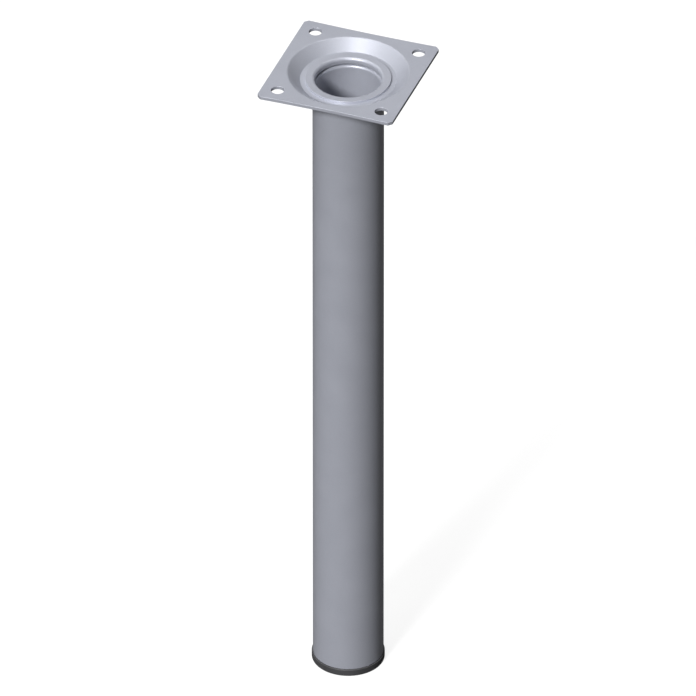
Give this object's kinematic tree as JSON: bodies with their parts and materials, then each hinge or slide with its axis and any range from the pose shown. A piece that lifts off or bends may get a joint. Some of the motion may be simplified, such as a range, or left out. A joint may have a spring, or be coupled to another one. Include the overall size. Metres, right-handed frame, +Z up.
{
  "type": "furniture leg",
  "caption": "Straight round tube furniture leg with a dished square screw plate crimped on top and a plastic push-in foot plug.",
  "frame": {"origin": "centre of the foot plug's sole, on the floor", "axes": "+Z up the tube's axis, out of the mounting plate's top face; +X and +Y along the plate's sides"},
  "size_m": [0.06, 0.0598, 0.3],
  "materials": {
    "silver_paint": "silver-grey powder coat, satin",
    "silver_paint_plate": "silver-grey powder coat on pressed sheet, satin",
    "plug_plastic": "black moulded polyethylene, matt"
  },
  "bodies": {
    "root": {"mounting_plate": "silver_paint_plate", "tube": "silver_paint", "foot_plug": "plug_plastic"}
  },
  "joints": []
}
